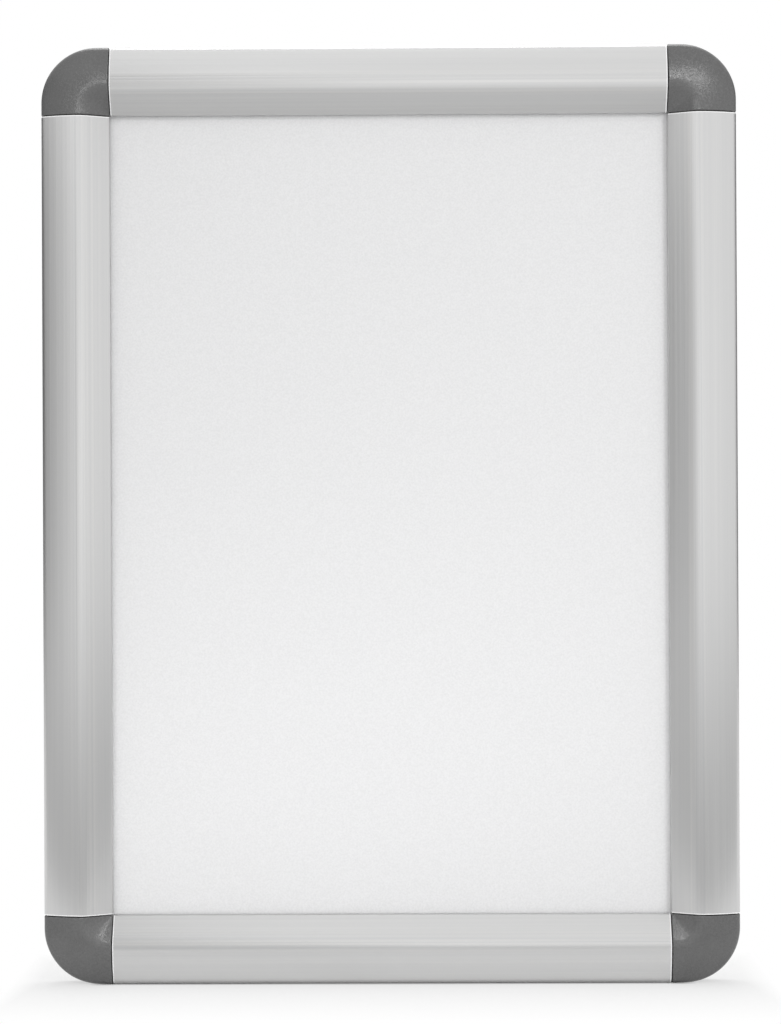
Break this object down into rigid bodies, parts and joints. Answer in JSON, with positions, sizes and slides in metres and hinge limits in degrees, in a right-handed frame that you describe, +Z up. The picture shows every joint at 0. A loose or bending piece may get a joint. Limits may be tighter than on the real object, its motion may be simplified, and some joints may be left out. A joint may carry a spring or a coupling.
{
  "type": "poster frame",
  "caption": "Wall snap frame for a poster: aluminium rails hinged along their outer edges, rounded plastic corners, spring-held lids, and a clear matt cover sheet over a white backboard.",
  "frame": {"origin": "middle of the frame's outline, in the plane of the wall that its back rests on", "axes": "+Z up along the poster's height, +X to the right seen from the front, -Y out of the front face, +Y into the wall"},
  "size_m": [0.25, 0.012, 0.337],
  "materials": {
    "anodised_aluminium": "satin silver anodised, with fine die lines along each rail",
    "corner_plastic": "mid grey moulded plastic with a fine spark texture",
    "spring_steel": "rolled spring steel",
    "screw_steel": "zinc plated",
    "white_board": "matt white polystyrene",
    "matt_cover": "clear sheet with an anti-glare matt face"
  },
  "bodies": {
    "frame": {"base_rail_bottom": "anodised_aluminium", "base_rail_right": "anodised_aluminium", "base_rail_top": "anodised_aluminium", "base_rail_left": "anodised_aluminium", "corner_bottom_left": "corner_plastic", "corner_bottom_right": "corner_plastic", "corner_top_right": "corner_plastic", "corner_top_left": "corner_plastic", "leaf_spring_bottom_1": "spring_steel", "leaf_spring_bottom_2": "spring_steel", "corner_screw_bottom_1": "screw_steel", "corner_screw_bottom_2": "screw_steel", "leaf_spring_right_1": "spring_steel", "leaf_spring_right_2": "spring_steel", "corner_screw_right_1": "screw_steel", "corner_screw_right_2": "screw_steel", "leaf_spring_top_1": "spring_steel", "leaf_spring_top_2": "spring_steel", "corner_screw_top_1": "screw_steel", "corner_screw_top_2": "screw_steel", "leaf_spring_left_1": "spring_steel", "leaf_spring_left_2": "spring_steel", "corner_screw_left_1": "screw_steel", "corner_screw_left_2": "screw_steel", "backboard": "white_board", "cover_sheet": "matt_cover"},
    "bottom_snap": {"snap_rail_bottom": "anodised_aluminium"},
    "right_snap": {"snap_rail_right": "anodised_aluminium"},
    "top_snap": {"snap_rail_top": "anodised_aluminium"},
    "left_snap": {"snap_rail_left": "anodised_aluminium"}
  },
  "joints": [
    {"name": "bottom_hinge", "type": "hinge", "parent": "frame", "child": "bottom_snap", "pos_m": [0, -0.00531, -0.1666], "axis": [1, 0, 0], "range_deg": [0, 85], "deforming": ["leaf_spring_bottom_1", "leaf_spring_bottom_2"]},
    {"name": "right_hinge", "type": "hinge", "parent": "frame", "child": "right_snap", "pos_m": [0.1231, -0.00531, 0], "axis": [0, 0, 1], "range_deg": [0, 85], "deforming": ["leaf_spring_right_1", "leaf_spring_right_2"]},
    {"name": "top_hinge", "type": "hinge", "parent": "frame", "child": "top_snap", "pos_m": [0, -0.00531, 0.1666], "axis": [-1, 0, 0], "range_deg": [0, 85], "deforming": ["leaf_spring_top_1", "leaf_spring_top_2"]},
    {"name": "left_hinge", "type": "hinge", "parent": "frame", "child": "left_snap", "pos_m": [-0.1231, -0.00531, 0], "axis": [0, 0, -1], "range_deg": [0, 85], "deforming": ["leaf_spring_left_1", "leaf_spring_left_2"]}
  ]
}
